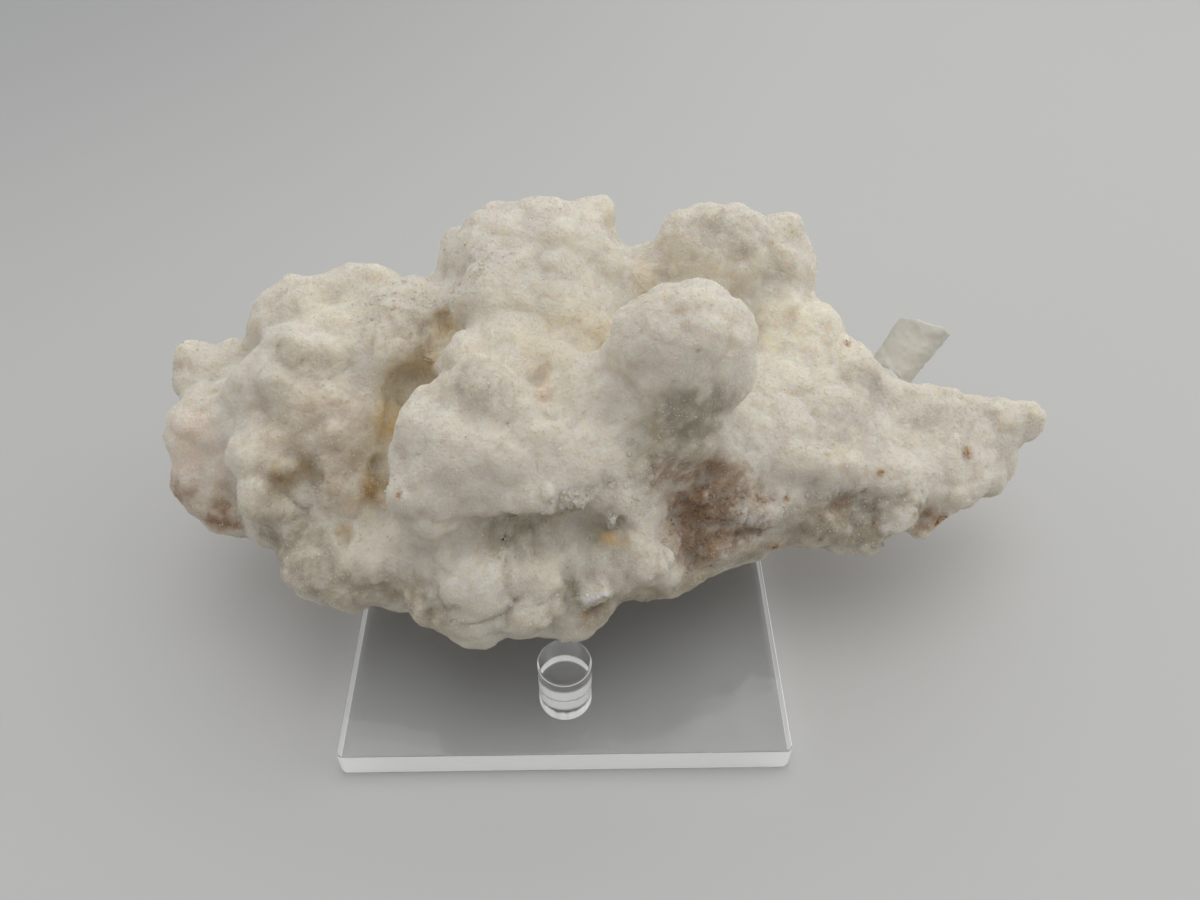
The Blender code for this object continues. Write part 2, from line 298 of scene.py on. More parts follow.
# Specks: tilt, length, width and thickness against a crystal's, and how high they lie
SPECK_TILT, SPECK_SHAPE, SPECK_LIFT = 0.25, (1.0, 0.6, 0.3), 0.1 * MM
# Where the random draws of the grains' first layer, the crystals and the specks start
GRAIN_SEED, CRYSTAL_SEED, SPECK_SEED = 20, 5, 9

# The prism: its mesh cells, and the size and height of its worn relief in millimetres
PRISM_CELL, PRISM_RELIEF = 0.4 * MM, ((2.2, 0.35), (0.9, 0.22))

MINERAL_IOR, ACRYLIC_IOR = 1.48, 1.49

# The pegs' frosted feet: height above the plate, softness of their edge, and their painted glow against the
# rim's
FOOT_HEIGHT, FOOT_EDGE, FOOT_GLOW = 3.2 * MM, 0.8 * MM, 1.3
# Steps of the plate's corners and of polished rims, sides of a rod, and its sharp edges' least angle
CORNER_STEPS, RIM_STEPS, ROD_SIDES, SHARP_ANGLE = 6, 3, 96, math.radians(35)

# Half the floor's side, the size of its mottling, and the middle and reach of the painted shade in its far
# corner
FLOOR_REACH, FLOOR_CLOUD_SIZE = 1.5, 0.08
FLOOR_SHADE_PLACE, FLOOR_SHADE_REACH = (-0.34, 0.40, 0), (0.5, 0.5, 1)

# Where most of the room's light comes from, what that side adds, and the light on every side
SKY_AIM, SKY_GLOW, SKY_BASE = (0.22, 0.46, 0.86), 0.9, 0.5
# Soft lights: name, place in metres, width, depth, share of the stage's light, colour
SOFTBOXES = (
    ("back_softbox", (0.34, 0.40, 0.66), 1.5, 1.1, 1.0, (1, 0.985, 0.95)),
    ("top_softbox", (-0.05, 0.0, 0.75), 0.6, 0.4, 0.4, (1, 1, 1)),
    ("left_softbox", (-0.8, 0.05, 0.42), 0.8, 0.5, 0.25, (1, 1, 1)),
    ("right_softbox", (0.8, -0.1, 0.42), 0.8, 0.5, 0.45, (1, 1, 1)),
)
LIGHT_AIM = (0, 0, 0.02)


class Link:
    """A node's output socket; arithmetic on it adds Math nodes."""

    def __init__(self, maker, socket):
        self.maker = maker
        self.socket = socket

    def maths(self, operation, *values, clamp=False):
        """Adds one Math node."""
        settings = {"operation": operation, "use_clamp": clamp}
        inputs = dict(enumerate(values))
        return self.maker.node("ShaderNodeMath", settings, inputs)

    def __add__(self, other):
        return self.maths("ADD", self, other)

    def __radd__(self, other):
        return self.maths("ADD", other, self)

    def __sub__(self, other):
        return self.maths("SUBTRACT", self, other)

    def __rsub__(self, other):
        return self.maths("SUBTRACT", other, self)

    def __mul__(self, other):
        return self.maths("MULTIPLY", self, other)

    def __rmul__(self, other):
        return self.maths("MULTIPLY", other, self)

    def __truediv__(self, other):
        return self.maths("DIVIDE", self, other)

    def __pow__(self, other):
        return self.maths("POWER", self, other)

    def kept(self):
        """The value kept between 0 and 1."""
        return self.maths("ADD", self, 0, clamp=True)


class Maker:
    """Builds the nodes of one material, or of the world."""

    def __init__(self, name, world=False):
        self.owner = (bpy.data.worlds if world else bpy.data.materials).new(name)
        self.owner.use_nodes = True
        self.tree = self.owner.node_tree
        self.tree.nodes.clear()
        self.output = self.tree.nodes.new("ShaderNodeOutputWorld" if world else "ShaderNodeOutputMaterial")

    def node(self, kind, settings=None, inputs=None, output=0):
        """Adds a node, sets it up, feeds its sockets by name or number and gives one output."""
        made = self.tree.nodes.new(kind)
        for key, value in (settings or {}).items():
            setattr(made, key, value)
        for key, value in (inputs or {}).items():
            socket = made.inputs[key]
            if isinstance(value, Link):
                self.tree.links.new(value.socket, socket)
            else:
                socket.default_value = value
        return Link(self, made.outputs[output])

    def mix(self, factor, first, second):
        """Mixes two colours."""
        inputs = {0: factor, 6: first, 7: second}
        return self.node("ShaderNodeMix", {"data_type": "RGBA"}, inputs, output=2)

    def vector(self, operation, *values, output=0):
        """Maths on places and directions."""
        inputs = dict(enumerate(values))
        return self.node("ShaderNodeVectorMath", {"operation": operation}, inputs, output)

    def place(self):
        """The point's own coordinates, in metres."""
        return self.node("ShaderNodeTexCoord", output="Object")

    def speckle(self, size, detail=2.0, roughness=0.5, offset=(0, 0, 0)):
        """Soft noise between 0 and 1, with lumps of about this size in metres."""
        moved = self.vector("ADD", self.place(), offset)
        inputs = {"Vector": moved, "Scale": 1 / size, "Detail": detail, "Roughness": roughness}
        return self.node("ShaderNodeTexNoise", None, inputs)

    def cells(self, size):
        """0 in the middle of each random cell of about this size, rising towards its edge."""
        inputs = {"Vector": self.place(), "Scale": 1 / size}
        return self.node("ShaderNodeTexVoronoi", None, inputs, "Distance")

    def blob(self, centre, radii):
        """1 at the centre of a soft ellipsoid, falling to 0 at its edge."""
        moved = self.vector("SUBTRACT", self.place(), centre)
        far = self.vector("LENGTH", self.vector("DIVIDE", moved, radii), output="Value")
        settings = {"interpolation_type": "SMOOTHSTEP"}
        inputs = {"Value": far, "From Min": 1.0, "From Max": 0.25, "To Min": 0.0, "To Max": 1.0}
        return self.node("ShaderNodeMapRange", settings, inputs)

    def attribute(self, name, output="Fac"):
        """A value, or with output "Color" a colour, that was kept for each vertex."""
        return self.node("ShaderNodeAttribute", {"attribute_name": name}, output=output)

    def bump(self, height, distance, strength):
        """Fine relief that stands this far out, in metres."""
        inputs = {"Height": height, "Distance": distance, "Strength": strength}
        return self.node("ShaderNodeBump", None, inputs)

    def upright(self, vector):
        """The vertical part of a place or a direction."""
        return self.node("ShaderNodeSeparateXYZ", None, {0: vector}, output="Z")

    def finish(self, inputs, surface="ShaderNodeBsdfPrincipled"):
        """Joins the last shader to the output, and gives the material or world."""
        shader = self.node(surface, None, inputs)
        self.tree.links.new(shader.socket, self.output.inputs["Surface"])
        return self.owner


def colour_setting(name, description, default):
    """A colour that a user can change."""
    return FloatVectorProperty(name=name, description=description, default=default, subtype="COLOR")


def length_setting(name, description, default):
    """A length that a user can change."""
    return FloatProperty(name=name, description=description, default=default, unit="LENGTH", precision=5)


def share_setting(name, description, default, most):
    """An amount that a user can change, from 0 upwards."""
    return FloatProperty(name=name, description=description, default=default, subtype="FACTOR", max=most)


class CrustSettings(bpy.types.PropertyGroup):
    voxel: length_setting("Fineness", "Size of the crust's mesh cells", 0.7 * MM)
    relief: share_setting("Relief", "How strongly the knobs are raised", 1.0, 2)
    grain: length_setting("Grain", "Size of the sugary grains", 0.66 * MM)
    grains: IntProperty(name="Grains", description="Number of grains in each layer", default=40000)
    depth: length_setting("Depth", "How deep light enters the crust", 4.5 * MM)
    white: colour_setting("White", "Main colour of the mineral", (0.77, 0.715, 0.615))
    # Cream: a random warm tone, and painted light where light comes through into sheltered places
    cream: colour_setting("Cream", "Warm colour in sheltered places", (0.78, 0.70, 0.535))
    pink: colour_setting("Pink", "Pinkish colour at the left end", (0.63, 0.525, 0.40))
    # Ochre: painted shade deep in the clefts and the creases, partly also the clefts' own stain
    ochre: colour_setting("Ochre", "Colour deep in the clefts", (0.74, 0.55, 0.29))
    # Brown: the stains in the recesses, and painted shade on downward faces
    brown: colour_setting("Brown", "Colour of the stained recesses", (0.40, 0.255, 0.155))
    # Ash: painted shade below the lips and on the big knob's lower front; also a small grey patch on a knob
    # at the left
    ash: colour_setting("Ash", "Grey-green colour below the lips", (0.43, 0.385, 0.28))
    # Glow: painted light where light comes through the mineral
    glow: colour_setting("Glow", "Pale warm colour where light comes through", (0.92, 0.85, 0.69))
    rose: colour_setting("Rose", "Faint blush of the left end", (0.88, 0.76, 0.645))
    # Tan: painted shade on the lower faces
    tan: colour_setting("Tan", "Dull warm colour of the shaded lower faces", (0.45, 0.385, 0.285))
    # Umber: partly the long cleft's own stain, partly painted shade
    umber: colour_setting("Umber", "Darkest colour in the long cleft", (0.48, 0.325, 0.14))
    peach: colour_setting("Peach", "Rosy streak between two lobes", (0.76, 0.62, 0.46))
    rust: colour_setting("Rust", "Colour of the rusty spots", (0.46, 0.25, 0.10))
    # Dusk: painted shade that dulls some upper faces
    dusk_shade: colour_setting("Dusk", "Duller ivory of some upper faces", (0.62, 0.56, 0.47))
    dirt: colour_setting("Dirt", "Colour of the dark specks", (0.11, 0.075, 0.045))
    pale: colour_setting("Pale", "Cleanest white, on fresh knobs", (0.93, 0.89, 0.81))
    # Glint and grit: random tone of the grains, the brightest also standing in as painted glints
    glint: colour_setting("Glint", "Colour of the brightest grains", (0.94, 0.92, 0.87))
    grit: colour_setting("Grit", "Colour of the dullest grains", (0.50, 0.45, 0.37))


class PrismSettings(bpy.types.PropertyGroup):
    tint: colour_setting("Tint", "Paler colour of the prism", (0.92, 0.89, 0.81))
    cloud: colour_setting("Cloud", "Duller colour of its clouds", (0.81, 0.785, 0.70))
    clearness: share_setting("Clearness", "How much light passes through", 0.34, 1)


class StandSettings(bpy.types.PropertyGroup):
    tint: colour_setting("Tint", "Colour of the clear plate", (0.97, 0.98, 0.98))
    rod_tint: colour_setting("Rod tint", "Colour of the clear pegs", (0.97, 0.97, 0.96))
    clearness: share_setting("Clearness", "How clear the plate's faces are", 0.94, 1)
    frost: share_setting("Frost", "How milky the pegs' feet are", 0.95, 1)
    # Painted light: how strongly the milky faces glow, in place of light piped through the plate
    piped: FloatProperty(name="Piped light", description="Light piped to the milky faces", default=0.2)
    rim_clearness: share_setting("Rim clearness", "How clear the plate's sawn rim is", 0.3, 1)
    plate_corner: length_setting("Plate corner", "Rounding of the plate's upright corners", 1.2 * MM)
    plate_edge: length_setting("Plate edge", "Width of the plate's polished edge", 0.4 * MM)
    peg_edge: length_setting("Rod edge", "Rounding of a rod's rim", 0.35 * MM)


class StageSettings(bpy.types.PropertyGroup):
    floor: colour_setting("Floor", "Colour of the floor", (0.56, 0.555, 0.54))
    mottle: colour_setting("Mottle", "Colour of its faint mottling", (0.53, 0.53, 0.52))
    # Corner: painted shade on the floor's far corner
    corner: colour_setting("Corner", "Colour of its duller far corner", (0.42, 0.42, 0.42))
    sky: colour_setting("Sky", "Colour of the light from all sides", (0.80, 0.81, 0.82))
    light: FloatProperty(name="Light", description="Power of the light behind", default=2.3, unit="POWER")
    room: FloatProperty(name="Room", description="Strength of the light from all sides", default=0.6)


def link_object(name, mesh, material=None):
    """A new object in the scene, with its first material."""
    made = bpy.data.objects.new(name, mesh)
    bpy.context.scene.collection.objects.link(made)
    if material:
        mesh.materials.append(material)
    return made


def node_copy(node, name):
    """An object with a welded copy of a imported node's mesh."""
    shape = bmesh.new()
    shape.from_mesh(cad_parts[node].data)
    bmesh.ops.remove_doubles(shape, verts=shape.verts, dist=0.001 * MM)
    mesh = bpy.data.meshes.new(name)
    shape.to_mesh(mesh)
    shape.free()
    return link_object(name, mesh)


def apply_modifiers(made):
    """Replaces an object's mesh with the result of its modifiers."""
    graph = bpy.context.evaluated_depsgraph_get()
    mesh = bpy.data.meshes.new_from_object(made.evaluated_get(graph))
    made.modifiers.clear()
    made.data = mesh


def dress(made, material):
    """Gives a smooth piece its one material."""
    made.data.materials.clear()
    made.data.materials.append(material)
    made.data.shade_smooth()


def corners(mesh):
    """The mesh's vertex places and normals as arrays."""
    count = len(mesh.vertices)
    places, normals = np.empty(count * 3), np.empty(count * 3)
    mesh.vertices.foreach_get("co", places)
    mesh.vertex_normals.foreach_get("vector", normals)
    return places.reshape(-1, 3), normals.reshape(-1, 3)


def move_corners(mesh, places):
    """Moves the mesh's vertices to these places."""
    mesh.vertices.foreach_set("co", places.ravel())
    mesh.update()


def dome_level(place, size, offset):
    """1 over the middle of each rounded knob and about 0 in the creases between knobs."""
    near = noise.voronoi(Vector(place / size) + Vector(offset))[0][0]
    return max(0.0, 1 - KNOB_STEEPNESS * near * near)


def raise_knobs(made, relief):
    """Raises rounded knobs of several sizes, and keeps how deep each point lies as an attribute."""
    depth = np.zeros(len(made.data.vertices))
    for size, height, offset in CRUST_KNOBS:
        places, normals = corners(made.data)
        level = np.array([dome_level(place, size * MM, offset) for place in places])
        places += normals * ((level - KNOB_REST) * height * relief * MM)[:, None]
        move_corners(made.data, places)
        depth += (1 - level) * height
    keep_values(made.data, "crease", depth / sum(height for _, height, _ in CRUST_KNOBS))


def far_from_line(places, first, last):
    """How far each place lies from a straight stretch."""
    first, last = np.array(first) * MM, np.array(last) * MM
    along = last - first
    share = np.clip((places - first) @ along / max(along @ along, 1e-12), 0, 1)
    return np.linalg.norm(places - first - share[:, None] * along, axis=1)


def shape_forms(made):
    """Raises the single lumps with crisp feet, and sinks the hollows and clefts with soft rims."""
    places, normals = corners(made.data)
    noise.seed_set(FORM_SEED)
    wobble = np.array([noise.noise_vector(Vector(place / WOBBLE_SIZE)) for place in places]) * FORM_WOBBLE
    for centre, radius, height in LUMPS:
        far = far_from_line(places + wobble, centre, centre)
        up = normals[far < radius * MM].mean(axis=0)
        dome = np.sqrt(np.clip(1 - (far / (radius * MM)) ** 2, 0, 1))
        places += (dome * height * MM)[:, None] * up / np.linalg.norm(up)
    single = tuple((centre, centre, radius, depth) for centre, radius, depth in HOLLOWS)
    for first, last, radius, depth in single + CLEFTS:
        far = far_from_line(places + wobble, first, last)
        bowl = np.clip(1 - (far / (radius * MM)) ** 2, 0, 1) ** 2
        places -= (bowl * depth * MM)[:, None] * normals
    move_corners(made.data, places)


def keep_values(mesh, name, values):
    """Keeps one number for each vertex, for the materials to read."""
    kept = mesh.attributes.new(name, "FLOAT", "POINT")
    kept.data.foreach_set("value", np.asarray(values, dtype=np.float32))


def keep_colours(mesh, name, colours):
    """Keeps one colour for each vertex, for the materials to read."""
    kept = mesh.attributes.new(name, "FLOAT_COLOR", "POINT")
    opaque = np.column_stack((colours, np.ones(len(colours))))
    kept.data.foreach_set("color", opaque.astype(np.float32).ravel())


def sky_directions(count):
    """Directions spread evenly over the upper half of a ball, more of them near the top."""
    turns = np.arange(count) * math.pi * (3 - math.sqrt(5))
    heights = np.sqrt((np.arange(count) + 0.5) / count)
    reach = np.sqrt(1 - heights**2)
    return [Vector(each) for each in zip(reach * np.cos(turns), reach * np.sin(turns), heights)]


def shelter_of(made):
    """How much of the air around each point the mineral itself closes off, from 0 to 1."""
    coarse = link_object("coarse_skin", made.data.copy())
    remesh(coarse, SHELTER_CELL)
    apply_modifiers(coarse)
    shape = bmesh.new()
    shape.from_mesh(coarse.data)
    tree = BVHTree.FromBMesh(shape)
    finder = KDTree(len(shape.verts))
    directions = sky_directions(SHELTER_RAYS)
    closed = []
    for vert in shape.verts:
        turn = vert.normal.to_track_quat("Z", "Y")
        start = vert.co + vert.normal * SHELTER_CELL * 0.4
        total = 0.0
        for direction in directions:
            far = tree.ray_cast(start, turn @ direction, SHELTER_REACH)[3]
            if far is not None:
                total += 1 - far / SHELTER_REACH
        closed.append(total / SHELTER_RAYS)
        finder.insert(vert.co, vert.index)
    finder.balance()
    shape.free()
    bpy.data.objects.remove(coarse)
    places = corners(made.data)[0]
    return [sum(closed[index] for _, index, _ in finder.find_n(place, 4)) / 4 for place in places]


def remesh(made, voxel):
    """Adds a modifier that gives the mesh even cells."""
    modifier = made.modifiers.new("even", "REMESH")
    modifier.mode = "VOXEL"
    modifier.voxel_size = voxel


def soften(made, times):
    """Adds a modifier that smooths the mesh this many times."""
    modifier = made.modifiers.new("soft", "SMOOTH")
    modifier.iterations = times


def blob_level(places, centre, radii):
    """1 in the middle of an ellipsoid, falling softly to 0 at its edge."""
    far = np.linalg.norm((places - np.array(centre) * MM) / (np.array(radii) * MM), axis=1)
    level = np.clip((1 - far) / 0.75, 0, 1)
    return level * level * (3 - 2 * level)


def keep_stains_and_painted_light(mesh, crust):
    """Lays the tints, the painted shade and light among them, and the rust over each other with blotchy
    edges, and keeps their colour and strength.
    """
    places = corners(mesh)[0]
    patchy = np.array([noise.fractal(Vector(place / PATCH_SIZE), 0.6, 2.0, 4) for place in places])
    patchy = np.clip(0.5 + patchy * 0.75, 0, 1)
    colour, amount = np.zeros((len(places), 3)), np.zeros(len(places))
    layers = [(centre, radii, strength, getattr(crust, name)) for centre, radii, strength, name in TINTS]
    layers += [(centre, [radius * SPOT_HALO] * 3, SPOT_STRENGTH, crust.rust) for centre, radius in SPOTS]
    for centre, radii, strength, tint in layers:
        cover = np.clip(blob_level(places, centre, radii) * (0.3 + patchy * 1.4) * strength, 0, 1)
        colour = colour * (1 - cover)[:, None] + np.array(tint) * cover[:, None]
        amount = amount * (1 - cover) + cover
    colour /= np.maximum(amount, 1e-6)[:, None]
    keep_colours(mesh, "stain_and_painted_light", colour)
    # How strongly the stains and the painted shade and light cover each point
    keep_values(mesh, "stained", amount)


def mineral_colour(maker, crust):
    """White with a random cream tone, painted glow in cream and painted shade in ochre where it is sheltered,
    the kept stains with the tints' painted shade and light over it, and painted shade on downward faces and
    in the creases.
    """
    cloudy = maker.speckle(9 * MM, 2, 0.6)
    patchy = maker.speckle(PATCH_SIZE, 3, 0.65, (0.3, 0.1, 0.7))
    shelter = maker.attribute("shelter")
    base = maker.mix(((cloudy - 0.35) * 1.5).kept() * 0.35, (*crust.white, 1), (*crust.cream, 1))
    # Painted light: warm cream glow where the mineral shelters itself; painted shade in ochre deeper in
    base = maker.mix((shelter * 2.4 - 0.35).kept() * 0.8, base, (*crust.cream, 1))
    base = maker.mix((shelter * 2.2 - 0.85).kept() * 0.9, base, (*crust.ochre, 1))
    # The kept stains, with the tints' painted shade and light
    stain_and_painted_light = maker.attribute("stain_and_painted_light", "Color")
    base = maker.mix((maker.attribute("stained") * (0.75 + patchy * 0.5)).kept(), base, stain_and_painted_light)
    # Painted shade: brown on downward faces
    underside = maker.attribute("underside")
    base = maker.mix((underside * (0.25 + patchy * 0.7)).kept() * 0.7, base, (*crust.brown, 1))
    # Painted shade: ochre in the creases between knobs
    crease = maker.attribute("crease")
    return maker.mix(((crease - 0.5) * 1.6).kept() * patchy * 0.5, base, (*crust.ochre, 1))


def mineral_material(name, crust, glassy, size):
    """White mineral: translucent at glassy 0, smoother above it, and partly clear at 1."""
    maker = Maker(name)
    fine = maker.speckle(size, 2, 0.6) * 0.6 + (1 - maker.cells(size * 1.4)) * 0.6
    # Painted glints: grains with a high random glint turn brighter, those with a low one duller, as random
    # tone
    glint = maker.attribute("glint")
    tone = maker.mix((glint - 0.55).kept() * 1.5, mineral_colour(maker, crust), (*crust.glint, 1))
    inputs = {
        "Base Color": maker.mix((0.4 - glint).kept() * 0.55, tone, (*crust.grit, 1)),
        "Roughness": (0.7 - glassy * 0.2 - fine * 0.25).kept(),
        "Subsurface Weight": 0.0 if glassy else 1.0,
        "Transmission Weight": 0.3 if glassy == 1 else 0.0,
        "Subsurface Radius": (1.0, 0.78, 0.5),
        "Subsurface Scale": crust.depth,
        "IOR": MINERAL_IOR,
        "Normal": maker.bump(fine, 0.35 * MM, 0.9),
    }
    return maker.finish(inputs)


def even_points(mesh, count, draw, weigh=None):
    """Random points spread evenly over a mesh by area: places, normals and their triangles' corners."""
    mesh.calc_loop_triangles()
    total = len(mesh.loop_triangles)
    areas, ends = np.empty(total), np.empty(total * 3, dtype=np.int64)
    mesh.loop_triangles.foreach_get("area", areas)
    mesh.loop_triangles.foreach_get("vertices", ends)
    ends = ends.reshape(-1, 3)
    places, normals = corners(mesh)
    if weigh is not None:
        areas = areas * weigh(places[ends].mean(axis=1))
    picked = ends[draw.choice(total, size=count, p=areas / areas.sum())]
    share = draw.dirichlet((1, 1, 1), count)[:, :, None]
    facing = (normals[picked] * share).sum(axis=1)
    return (places[picked] * share).sum(axis=1), facing / np.linalg.norm(facing, axis=1)[:, None], picked


def mesh_of(name, points, faces):
    """A flat-shaded mesh of triangles."""
    mesh = bpy.data.meshes.new(name)
    mesh.vertices.add(len(points))
    mesh.vertices.foreach_set("co", points.ravel())
    mesh.loops.add(faces.size)
    mesh.loops.foreach_set("vertex_index", faces.ravel().astype(np.int32))
    mesh.polygons.add(len(faces))
    mesh.polygons.foreach_set("loop_start", np.arange(0, faces.size, 3, dtype=np.int32))
    mesh.update(calc_edges=True)
    mesh.validate()
    mesh.shade_flat()
    return mesh


def frames_for(normals, tilt, draw):
    """For each normal, three axes with the third near it: random turn, random tilt."""
    count = len(normals)
    up = normals + draw.normal(scale=tilt, size=(count, 3))
    up /= np.linalg.norm(up, axis=1)[:, None]
    side = np.cross(up, draw.normal(size=(count, 3)))
    side /= np.linalg.norm(side, axis=1)[:, None]
    return np.stack((side, np.cross(up, side), up), axis=1)


# One grain's visible end, and one whole crystal: both stretched pyramids, as this mineral grows
GRAIN_CORNERS = np.array(((1, 0, -0.4), (0, 0.9, -0.4), (-1, 0, -0.4), (0, -0.9, -0.4), (0, 0, 0.45)))
GRAIN_FACES = np.array(((0, 1, 4), (1, 2, 4), (2, 3, 4), (3, 0, 4)))
CRYSTAL_CORNERS = np.array(
    ((1, 0, 0), (0, 0.85, 0), (-1, 0, 0), (0, -0.85, 0))
    + ((0.4, 0.3, 0.75), (-0.4, 0.3, 0.8), (0, -0.4, 0.7), (0, 0, -0.8))
)
CRYSTAL_FACES = np.array(
    ((0, 1, 4), (1, 5, 4), (1, 2, 5), (2, 3, 6), (2, 6, 5), (3, 0, 6))
    + ((0, 4, 6), (4, 5, 6), (1, 0, 7), (2, 1, 7), (3, 2, 7), (0, 3, 7))
)


def planted(name, corner_set, face_set, places, axes, sizes):
    """Copies of one small shape at many places, joined in one mesh."""
    turned = np.einsum("kc,ncj->nkj", corner_set * 0.5, axes)
    points = places[:, None, :] + turned * sizes[:, None, None]
    faces = face_set[None] + (np.arange(len(places)) * len(corner_set))[:, None, None]
    return mesh_of(name, points.reshape(-1, 3), faces.reshape(-1, 3))


def pass_on_values(source, picked, mesh, per_piece):
    """Gives every small shape the kept values of the crust point it sits on."""
    for name in ("shelter", "underside", "crease", "stained"):
        values = np.empty(len(source.vertices), dtype=np.float32)
        source.attributes[name].data.foreach_get("value", values)
        keep_values(mesh, name, np.repeat(values[picked].mean(axis=1), per_piece))
    colours = np.empty(len(source.vertices) * 4, dtype=np.float32)
    source.attributes["stain_and_painted_light"].data.foreach_get("color", colours)
    colours = colours.reshape(-1, 4)[picked].mean(axis=1)[:, :3]
    keep_colours(mesh, "stain_and_painted_light", np.repeat(colours, per_piece, axis=0))


class THENARDITE_OT_crust(bpy.types.Operator):
    """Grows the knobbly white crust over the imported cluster"""

    bl_idname = "thenardite.crust"
    bl_label = "Grow crust"

    def execute(self, context):
        crust = context.scene.thenardite_crust
        made = node_copy(CLUSTER, "mineral_crust")
        remesh(made, crust.voxel)
        soften(made, 7)
        apply_modifiers(made)
        shape_forms(made)
        raise_knobs(made, crust.relief)
        keep_values(made.data, "shelter", shelter_of(made))
        # How much each face looks down, for the painted shade on downward faces
        keep_values(made.data, "underside", np.clip(-corners(made.data)[1][:, 2] * 1.3, 0, 1))
        keep_stains_and_painted_light(made.data, crust)
        # A middle glint value, so that the crust itself gets neither painted glints nor dull grit
        keep_values(made.data, "glint", np.full(len(made.data.vertices), 0.5))
        dress(made, mineral_material("sugary_mineral", crust, 0.0, 0.5 * MM))
        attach(made, "root")
        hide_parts(CLUSTER)
        return {"FINISHED"}


class THENARDITE_OT_grains(bpy.types.Operator):
    """Covers the crust with small sugary grains"""

    bl_idname = "thenardite.grains"
    bl_label = "Cover with grains"

    def execute(self, context):
        crust = context.scene.thenardite_crust
        source = bpy.data.objects["mineral_crust"].data
        material = mineral_material("sugar_grains", crust, 0.4, 0.35 * MM)
        for layer in range(GRAIN_LAYERS):
            draw = np.random.default_rng(GRAIN_SEED + layer)
            places, normals, picked = even_points(source, crust.grains, draw)
            sizes = crust.grain * draw.uniform(*GRAIN_SPREAD, crust.grains)
            axes = frames_for(normals, GRAIN_TILT, draw)
            name = f"sugar_grains_{layer + 1}"
            mesh = planted(name, GRAIN_CORNERS, GRAIN_FACES, places - normals * GRAIN_SINK, axes, sizes)
            pass_on_values(source, picked, mesh, len(GRAIN_CORNERS))
            # A random glint value for each grain: its random tone, and its painted glint
            keep_values(mesh, "glint", np.repeat(draw.random(crust.grains), len(GRAIN_CORNERS)))
            made = link_object(name, mesh, material)
            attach(made, "root")
        return {"FINISHED"}


def near_to(centre, radius):
    """A weighing that favours points near a place given in millimetres."""

    def weigh(points):
        far = np.linalg.norm(points - np.array(centre) * MM, axis=1)
        return np.exp(-((far / (0.6 * radius * MM)) ** 2)) + 1e-9

    return weigh


def nest_points(source, draw):
    """Where the larger crystals stand: in their nests, and thinly all over."""
    places, normals, picked, sizes = [], [], [], []
    for centre, radius, count, size in CRYSTAL_NESTS:
        found_points = even_points(source, count, draw, near_to(centre, radius))
        for store, found in zip((places, normals, picked), found_points):
            store.append(found)
        sizes.append(size * MM * draw.uniform(*CRYSTAL_SPREAD, count))
    for store, found in zip((places, normals, picked), even_points(source, LOOSE_CRYSTALS, draw)):
        store.append(found)
    sizes.append(LOOSE_SIZE * draw.uniform(*LOOSE_SPREAD, LOOSE_CRYSTALS))
    return [np.concatenate(store) for store in (places, normals, picked, sizes)]


class THENARDITE_OT_crystals(bpy.types.Operator):
    """Sets larger glassy crystals in nests below the lips and along the arm"""

    bl_idname = "thenardite.crystals"
    bl_label = "Set crystals"

    def execute(self, context):
        crust = context.scene.thenardite_crust
        source = bpy.data.objects["mineral_crust"].data
        draw = np.random.default_rng(CRYSTAL_SEED)
        places, normals, picked, sizes = nest_points(source, draw)
        axes = frames_for(normals, CRYSTAL_TILT, draw)
        places -= normals * (sizes * draw.uniform(*CRYSTAL_SINK, len(sizes)))[:, None]
        mesh = planted("coarse_crystals", CRYSTAL_CORNERS, CRYSTAL_FACES, places, axes, sizes)
        pass_on_values(source, picked, mesh, len(CRYSTAL_CORNERS))
        # A random glint value for each crystal: its random tone, and a faint painted glint
        glint = CRYSTAL_GLINT[0] + draw.random(len(sizes)) * CRYSTAL_GLINT[1]
        keep_values(mesh, "glint", np.repeat(glint, len(CRYSTAL_CORNERS)))
        made = link_object("coarse_crystals", mesh, mineral_material("coarse_crystals", crust, 1.0, 0.6 * MM))
        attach(made, "root")
        return {"FINISHED"}


class THENARDITE_OT_specks(bpy.types.Operator):
    """Drops dark specks of dirt on the crust, some alone and some in the rusty spots"""

    bl_idname = "thenardite.specks"
    bl_label = "Drop specks"

    def execute(self, context):
        crust = context.scene.thenardite_crust
        source = bpy.data.objects["mineral_crust"].data
        draw = np.random.default_rng(SPECK_SEED)
        groups = [even_points(source, LOOSE_SPECKS, draw)]
        sizes = [draw.uniform(*SPECK_SIZES, LOOSE_SPECKS) * MM]
        for centre, radius in SPOTS:
            groups.append(even_points(source, SPECKS_IN_SPOT, draw, near_to(centre, radius)))
            sizes.append(radius * draw.uniform(*SPOT_SPECK_SIZES, SPECKS_IN_SPOT) * MM)
        places, normals, picked = (np.concatenate(store) for store in zip(*groups))
        axes = frames_for(normals, SPECK_TILT, draw) * np.array(SPECK_SHAPE)[None, :, None]
        sizes = np.concatenate(sizes)
        places += normals * SPECK_LIFT
        mesh = planted("dirt_specks", CRYSTAL_CORNERS, CRYSTAL_FACES, places, axes, sizes)
        maker = Maker("dark_dirt")
        tone = maker.mix(maker.speckle(1.5 * MM, 1), (*crust.dirt, 1), (*crust.rust, 1))
        made = link_object("dirt_specks", mesh, maker.finish({"Base Color": tone, "Roughness": 0.8}))
        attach(made, "root")
        return {"FINISHED"}


